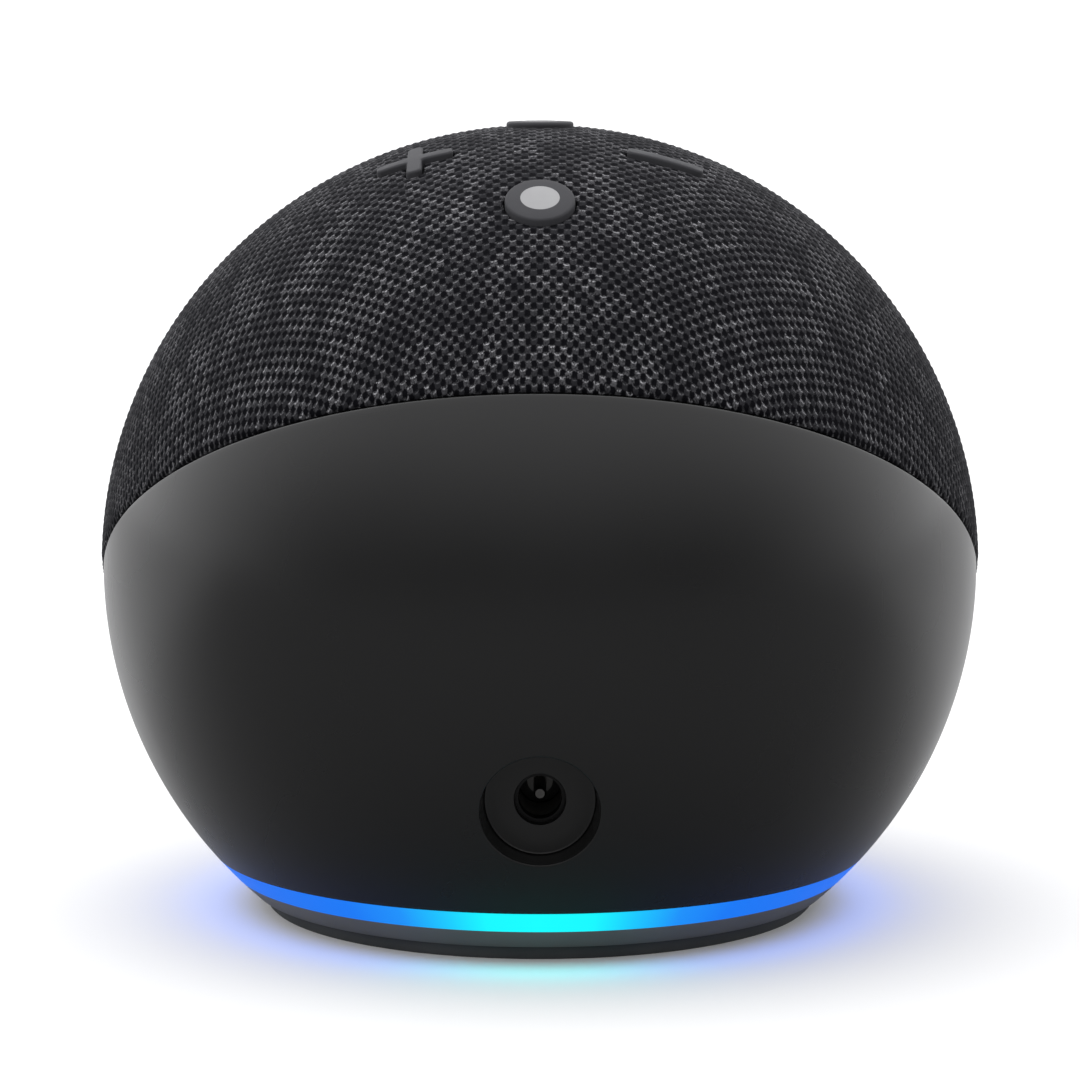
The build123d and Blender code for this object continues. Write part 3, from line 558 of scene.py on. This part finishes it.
shell = {
    "radius": 49.75 * mm,
    "wall": 2.0 * mm,
    "round": 0.3 * mm,         # the seam edge
    "columns": 256,
    "rows": 96,
    "patch": (9, 9, 38),       # columns either side of the middle, and the rows, that the recess takes
    "patchSteps": 10,
    "wallSteps": 8,
    "floorSteps": 4,
    "lipSteps": 3,
    "mouthSteps": 8,           # steps that find where the recess meets the ball
    "mouthRound": 0.25 * mm,
    "floorRadius": 6.0 * mm,
    "draft": 0.05,
    "cupWall": 1.8 * mm,
    "floorThickness": 1.2 * mm,
    "holeRadius": 2.75 * mm,
    "floorRound": 0.3 * mm,
    "lipRound": 0.12 * mm,
}
ringLow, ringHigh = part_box("light_ring")
pinLow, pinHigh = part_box("dc_socket_pin")
housingLow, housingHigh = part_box("dc_socket_housing")
socketHeight = (pinLow.z + pinHigh.z) / 2 - ballCentre[2]
floorBack = housingHigh.y + 0.1 * mm
recessFloor = floorBack + shell["floorThickness"]


# One wall of the shell: from the ring's edge, up each meridian, to the plane of the seam. Angles up the
# meridian solve a*cos(e) + b*sin(e) = c, the seam plane met by a circle of that radius.
def shellWall(radius, seamOffset):
    columns, rows = shell["columns"], shell["rows"]
    turn = np.arange(columns) * 2 * np.pi / columns
    heading = np.stack([np.sin(turn), np.cos(turn), np.zeros(columns)], -1)
    a, b = heading @ domeUp, domeUp[2]
    size = np.hypot(a, b)
    top = np.arcsin(seamOffset / radius / size) - np.arctan2(a, b)
    bottom = np.arcsin((ringHigh.z - ballCentre[2]) / radius)
    share = np.linspace(0, 1, rows + 1)[:, None]
    rise = bottom + (top - bottom) * share
    return radius * (np.cos(rise)[..., None] * heading + np.sin(rise)[..., None] * np.array([0, 0, 1.0]))


# The recess's opening in a wall: the grid's cells there are left out, and rings run from their
# outline in to a circle about the socket's axis.
def wallWithHole(radius, seamOffset, holeRadius):
    points = shellWall(radius, seamOffset)
    rows, columns = points.shape[:2]
    side, low, high = shell["patch"]
    faces = gridFaces(rows, columns, closed=True)
    row = faces[:, 0] // columns
    column = (faces[:, 0] % columns + columns // 2) % columns - columns // 2
    faces = faces[~((row >= low) & (row < high) & (column >= -side) & (column < side))]
    across = np.arange(-side, side + 1)
    up = np.arange(low, high + 1)
    outline = np.concatenate([np.stack([np.full(len(across), low), across], -1)[:-1],
                              np.stack([up, np.full(len(up), side)], -1)[:-1],
                              np.stack([np.full(len(across), high), across[::-1]], -1)[:-1],
                              np.stack([up[::-1], np.full(len(up), -side)], -1)[:-1]])
    index = outline[:, 0] * columns + outline[:, 1] % columns
    flatPoints = points.reshape(-1, 3)
    outer = flatPoints[index][:, [0, 2]]
    angle = np.arctan2(outer[:, 1] - socketHeight, outer[:, 0])
    outwards = np.stack([np.cos(angle), np.sin(angle)], -1)
    inner = np.array([0, socketHeight]) + outwards * np.reshape(holeRadius(angle), (-1, 1))
    share = np.linspace(0, 1, shell["patchSteps"] + 1)[1:, None, None]
    flat = outer + (inner - outer) * share
    depth = np.sqrt(radius ** 2 - (flat ** 2).sum(-1))
    rings = np.stack([flat[..., 0], depth, flat[..., 1]], -1)
    start = len(flatPoints)
    count = len(index)
    ids = np.concatenate([index[None], start + np.arange(rings.shape[0] * count).reshape(-1, count)])
    beside = np.roll(ids, -1, 1)
    patch = np.stack([ids[:-1], ids[1:], beside[1:], beside[:-1]], -1).reshape(-1, 4)
    return np.concatenate([flatPoints, rings.reshape(-1, 3)]), np.concatenate([faces, patch]), ids[-1], angle


# The recess's mouth: its radius grows with the distance out from the floor, so it is found in steps.
def mouthRadius(angle, radius, extra=0.0):
    size = np.full(len(angle), shell["floorRadius"])
    for _ in range(shell["mouthSteps"]):
        x, z = size * np.cos(angle), socketHeight + size * np.sin(angle)
        depth = np.sqrt(radius ** 2 - x ** 2 - z ** 2)
        size = shell["floorRadius"] + shell["draft"] * (depth - recessFloor)
    return size + extra


# A ring about the socket's axis, of a size for each angle, at a depth along Y.
def ringAt(angle, size, depth):
    size, depth = np.broadcast_to(size, angle.shape), np.broadcast_to(depth, angle.shape)
    return np.stack([size * np.cos(angle), depth, socketHeight + size * np.sin(angle)], -1)


# A quarter turn between two points: a parabola whose tangents meet at the sharp corner between them.
def roundBetween(first, corner, last, steps=5):
    t = np.linspace(0, 1, steps + 2)[1:, None, None]
    return (1 - t) ** 2 * first + 2 * t * (1 - t) * corner + t ** 2 * last


def makeShell():
    radius, inner = shell["radius"], shell["radius"] - shell["wall"]
    seamOffset = -(seam["drop"] + seam["gap"])
    mouth = shell["mouthRound"]
    outerPoints, outerFaces, outerHole, angle = wallWithHole(
        radius, seamOffset - shell["round"], lambda a: mouthRadius(a, radius, mouth))
    innerPoints, innerFaces, innerHole, _ = wallWithHole(
        inner, seamOffset, lambda a: np.full(len(a), shell["floorRadius"] + shell["cupWall"]))
    points = np.concatenate([outerPoints, innerPoints])
    faces = [outerFaces, innerFaces[:, ::-1] + len(outerPoints)]
    innerHole = innerHole + len(outerPoints)

    def strip(ringIds, flip=False):
        beside = np.roll(ringIds, -1, 1)
        quads = np.stack([ringIds[:-1], ringIds[1:], beside[1:], beside[:-1]], -1).reshape(-1, 4)
        faces.append(quads[:, ::-1] if flip else quads)

    def addRings(rings, firstIds, lastIds=None, flip=False):
        nonlocal points
        start = len(points)
        points = np.concatenate([points, rings.reshape(-1, 3)])
        ids = start + np.arange(rings.shape[0] * rings.shape[1]).reshape(rings.shape[:2])
        ids = np.concatenate([firstIds[None], ids] + ([lastIds[None]] if lastIds is not None else []))
        strip(ids, flip)

    # the recess: rounded mouth, tapering wall, rounded floor edge, floor, hole, and back round outside
    size = mouthRadius(angle, radius)
    across, up = size * np.cos(angle), socketHeight + size * np.sin(angle)
    edgeDepth = np.sqrt(radius ** 2 - across ** 2 - up ** 2)
    first = outerPoints[outerHole]
    mouthRings = roundBetween(first, ringAt(angle, size, edgeDepth),
                              ringAt(angle, size - shell["draft"] * mouth, edgeDepth - mouth))
    share = np.linspace(0, 1, shell["wallSteps"] + 1)[1:, None]
    wallDepth = edgeDepth - mouth + (recessFloor + shell["floorRound"] - edgeDepth + mouth) * share
    wallSize = shell["floorRadius"] + shell["draft"] * (wallDepth - recessFloor)
    wallRings = np.stack([ringAt(angle, s, d) for s, d in zip(wallSize, wallDepth)])
    low = shell["floorRound"]
    floorEdge = roundBetween(wallRings[-1], ringAt(angle, shell["floorRadius"], recessFloor),
                             ringAt(angle, shell["floorRadius"] - low, recessFloor))
    hole, lip = shell["holeRadius"], shell["lipRound"]
    floorSizes = np.linspace(shell["floorRadius"] - low, hole + lip, shell["floorSteps"] + 1)[1:]
    floorRings = np.stack([ringAt(angle, size, recessFloor) for size in floorSizes])
    lipRings = roundBetween(floorRings[-1], ringAt(angle, hole, recessFloor),
                            ringAt(angle, hole, recessFloor - lip), shell["lipSteps"])
    cupOuter = shell["floorRadius"] + shell["cupWall"]
    backRings = np.stack([ringAt(angle, hole, floorBack), ringAt(angle, cupOuter, floorBack)])
    allRings = np.concatenate([mouthRings, wallRings, floorEdge, floorRings, lipRings, backRings])
    addRings(allRings, outerHole, innerHole)

    # the seam edge, rounded over, then the lip's flat and the ring below
    columns, rows = shell["columns"], shell["rows"]
    grid = np.arange((rows + 1) * columns).reshape(rows + 1, columns)
    topIds, topInner = grid[-1], grid[-1] + len(outerPoints)
    top = points[topIds]
    level = top - (top @ domeUp)[:, None] * domeUp
    level /= np.linalg.norm(level, axis=1, keepdims=True)
    sharp = math.sqrt(radius ** 2 - seamOffset ** 2)
    seamRings = roundBetween(top, level * sharp + domeUp * seamOffset,
                             level * (sharp - shell["round"]) + domeUp * seamOffset)
    addRings(seamRings, topIds, topInner)
    strip(np.stack([grid[0], grid[0] + len(outerPoints)]), flip=True)
    return newPiece("rearShell", points + ballCentre, np.concatenate(faces))


rearShell = makeShell()
work = bmesh.new()
work.from_mesh(rearShell.data)
bmesh.ops.recalc_face_normals(work, faces=work.faces)
work.to_mesh(rearShell.data)
work.free()
rearShell.data.materials.append(finish("shell_plastic"))
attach(rearShell, "housing")
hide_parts("rear_shell", "plug_recess")
print("rear shell:", len(rearShell.data.polygons), "faces")


# ---------- the light ring

# Round the ring, the light goes from cyan at the back to deep blue at the sides and front.
glow = [(0.0, (0.006, 0.98, 1.0)), (0.050, (0.006, 0.93, 1.0)), (0.088, (0.008, 0.58, 0.98)),
        (0.135, (0.010, 0.27, 0.94)), (0.190, (0.006, 0.178, 0.90)), (0.34, (0.010, 0.145, 0.84)),
        (1.0, (0.010, 0.15, 0.86))]
castLight = 2.3  # how much brighter the ring lights its surroundings than it looks


def ringMaterial():
    material, tree, shader = newMaterial("light_diffuser")
    place = tree.nodes.new("ShaderNodeTexCoord")
    parts = tree.nodes.new("ShaderNodeSeparateXYZ")
    link(tree, place, "Object", parts, 0)
    side = mathNode(tree, "ABSOLUTE", parts.outputs[0])
    angle = mathNode(tree, "ARCTAN2", side, parts.outputs[1])
    ramp = tree.nodes.new("ShaderNodeValToRGB")
    while len(ramp.color_ramp.elements) < len(glow):
        ramp.color_ramp.elements.new(0.5)
    for element, (position, colour) in zip(ramp.color_ramp.elements, glow):
        element.position, element.color = position, (*colour, 1.0)
    tree.links.new(mathNode(tree, "DIVIDE", angle, math.pi), ramp.inputs["Fac"])
    rays = tree.nodes.new("ShaderNodeLightPath")
    cast = mixColours(tree, 1.0, ramp.outputs["Color"], (castLight,) * 3, "MULTIPLY")
    tree.links.new(mixColours(tree, rays.outputs["Is Camera Ray"], cast, ramp.outputs["Color"]),
                   shader.inputs["Emission Color"])
    shader.inputs["Emission Strength"].default_value = 1.0
    shader.inputs["Base Color"].default_value = (0.01, 0.05, 0.07, 1.0)
    shader.inputs["Roughness"].default_value = 0.4
    shader.inputs["Specular IOR Level"].default_value = 0.2
    return material


made["light_diffuser"] = ringMaterial()
visible = {
    "lightRing": ("light_ring", "light_diffuser"),
    "basePlate": ("base_plate", "base_plastic"),
    "rubberFoot": ("rubber_foot", "foot_rubber"),
    "volumeUpKey": ("volume_up_key", "key_plastic"),
    "volumeDownKey": ("volume_down_key", "key_plastic"),
    "actionKey": ("action_key", "key_plastic"),
    "actionKeyDot": ("action_key_dot", "key_mark"),
    "microphoneKey": ("microphone_key", "key_plastic"),
    "microphoneKeyMark": ("microphone_key_mark", "key_mark"),
    "socketHousing": ("dc_socket_housing", "socket_plastic"),
    "socketPin": ("dc_socket_pin", "pin_metal"),
    "socketContact": ("dc_socket_contact", "contact_metal"),
}
for pieceName, (nodeName, slotName) in visible.items():
    smoothCopy(nodeName, pieceName, slotName)
print("outside pieces done")

# ---------- the loudspeaker's spider: a smooth copy with a mesh of its own

spider = smoothCopy("driver_spider", "driverSpider", "spider_cloth")
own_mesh(spider)

# ---------- everything else inside keeps its CAD shape

slotOf = {row["node"]: row["material_slot"] for row in frame["record"]["subparts"]}
for nodeName, node in nodes.items():
    if slotOf[nodeName] in finishes:
        node.data.materials.clear()
        node.data.materials.append(finish(slotOf[nodeName]))
print("inside finished")

# ---------- floor, light and camera

# The camera sees the floor pale. What the object mirrors of it is darker, most of all in front at +Y.
floor = {
    "half": 30.0,
    "seen": (0.93, 0.93, 0.93),
    "lift": 0.05,              # a little light of its own, so the shadow stays soft
    "front": (0.28, 0.28, 0.28),
    "behind": (0.70, 0.70, 0.70),
    "fade": (-0.08, 0.04),     # from behind to in front, in metres along Y
}


def makeFloor():
    half = floor["half"]
    points = np.array([[-half, -half, 0], [half, -half, 0], [half, half, 0], [-half, half, 0]])
    plane = newPiece("floor", points, np.array([[0, 1, 2, 3]]))
    material, tree, shader = newMaterial("paleFloor")
    rays = tree.nodes.new("ShaderNodeLightPath")
    place = tree.nodes.new("ShaderNodeTexCoord")
    parts = tree.nodes.new("ShaderNodeSeparateXYZ")
    link(tree, place, "Object", parts, 0)
    nearer = rangeNode(tree, parts.outputs[1], *floor["fade"])
    mirrored = mixColours(tree, nearer, floor["behind"], floor["front"])
    tree.links.new(mixColours(tree, rays.outputs["Is Camera Ray"], mirrored, floor["seen"]),
                   shader.inputs["Base Color"])
    shader.inputs["Emission Color"].default_value = (1.0, 1.0, 1.0, 1.0)
    tree.links.new(mathNode(tree, "MULTIPLY", rays.outputs["Is Camera Ray"], floor["lift"]),
                   shader.inputs["Emission Strength"])
    shader.inputs["Roughness"].default_value = 0.8
    shader.inputs["Specular IOR Level"].default_value = 0.0
    plane.data.materials.append(material)


lamps = {  # place, size, power in watts; each looks at the ball
    "overhead": ((0.14, 0.16, 1.00), 1.6, 1.6),
}


def makeLamps():
    for name, (place, size, power) in lamps.items():
        light = bpy.data.lights.new(name, "AREA")
        light.shape, light.size, light.energy = "DISK", size, power
        lamp = bpy.data.objects.new(name, light)
        bpy.context.scene.collection.objects.link(lamp)
        lamp.location = place
        lamp.visible_glossy = False
        aim = Vector(ballCentre) - Vector(place)
        lamp.rotation_mode = "QUATERNION"
        lamp.rotation_quaternion = aim.to_track_quat("-Z", "Y")


# The room is white where it is seen. As a light it is a soft tent: white behind and beside the object,
# brightest overhead, and dim at +Y. Each is how bright it is, and between which directions it grows.
room = {
    "front": 0.195,
    "behind": (1.60, -0.75, 0.75),
    "overhead": (0.93, 0.0, 0.90),
    "left": (0.42, -0.6, 1.0),   # for soft light only
    "soft": 0.24,                # how much of the light behind counts as soft light
    "tint": (1.0, 1.0, 1.01),
}


def makeRoom():
    world = bpy.data.worlds.new("room")
    world.use_nodes = True
    bpy.context.scene.world = world
    tree = world.node_tree
    tree.nodes.clear()
    direction = tree.nodes.new("ShaderNodeTexCoord")
    parts = tree.nodes.new("ShaderNodeSeparateXYZ")
    link(tree, direction, "Generated", parts, 0)
    share, low, high = room["behind"]
    behind = rangeNode(tree, mathNode(tree, "MULTIPLY", parts.outputs[1], -1.0), low, high, 0.0, share)
    share, low, high = room["overhead"]
    overhead = rangeNode(tree, parts.outputs[2], low, high, room["front"], room["front"] + share)
    rays = tree.nodes.new("ShaderNodeLightPath")
    spread = rangeNode(tree, rays.outputs["Is Diffuse Ray"], 0.0, 1.0, 1.0, room["soft"], smooth=False)
    level = mathNode(tree, "ADD", mathNode(tree, "MULTIPLY", behind, spread), overhead)
    share, low, high = room["left"]
    left = rangeNode(tree, parts.outputs[0], low, high, 0.0, share)
    level = mathNode(tree, "ADD", level, mathNode(tree, "MULTIPLY", left, rays.outputs["Is Diffuse Ray"]))
    light = mixColours(tree, 1.0, level, room["tint"], "MULTIPLY")
    background = tree.nodes.new("ShaderNodeBackground")
    out = tree.nodes.new("ShaderNodeOutputWorld")
    tree.links.new(mixColours(tree, rays.outputs["Is Camera Ray"], light, (1.0, 1.0, 1.0)),
                   background.inputs["Color"])
    link(tree, background, 0, out, "Surface")


# The camera looks at the ball's centre from the socket's side, a little from above, in degrees.
camera = {"distance": 500 * mm, "elevation": 8.28, "lens": 145.5, "shift": 0.0212}


def makeCamera():
    data = bpy.data.cameras.new("camera")
    data.lens, data.shift_y = camera["lens"], camera["shift"]
    data.clip_start, data.clip_end = 0.01, 20
    rise = math.radians(camera["elevation"])
    place = ballCentre + camera["distance"] * np.array([0, math.cos(rise), math.sin(rise)])
    body = bpy.data.objects.new("camera", data)
    bpy.context.scene.collection.objects.link(body)
    body.location = place
    body.rotation_mode = "QUATERNION"
    body.rotation_quaternion = (Vector(ballCentre) - Vector(place)).to_track_quat("-Z", "Y")
    bpy.context.scene.camera = body


makeFloor()
makeLamps()
makeRoom()
makeCamera()
bpy.context.scene.view_settings.view_transform = "Standard"
print("stage set")
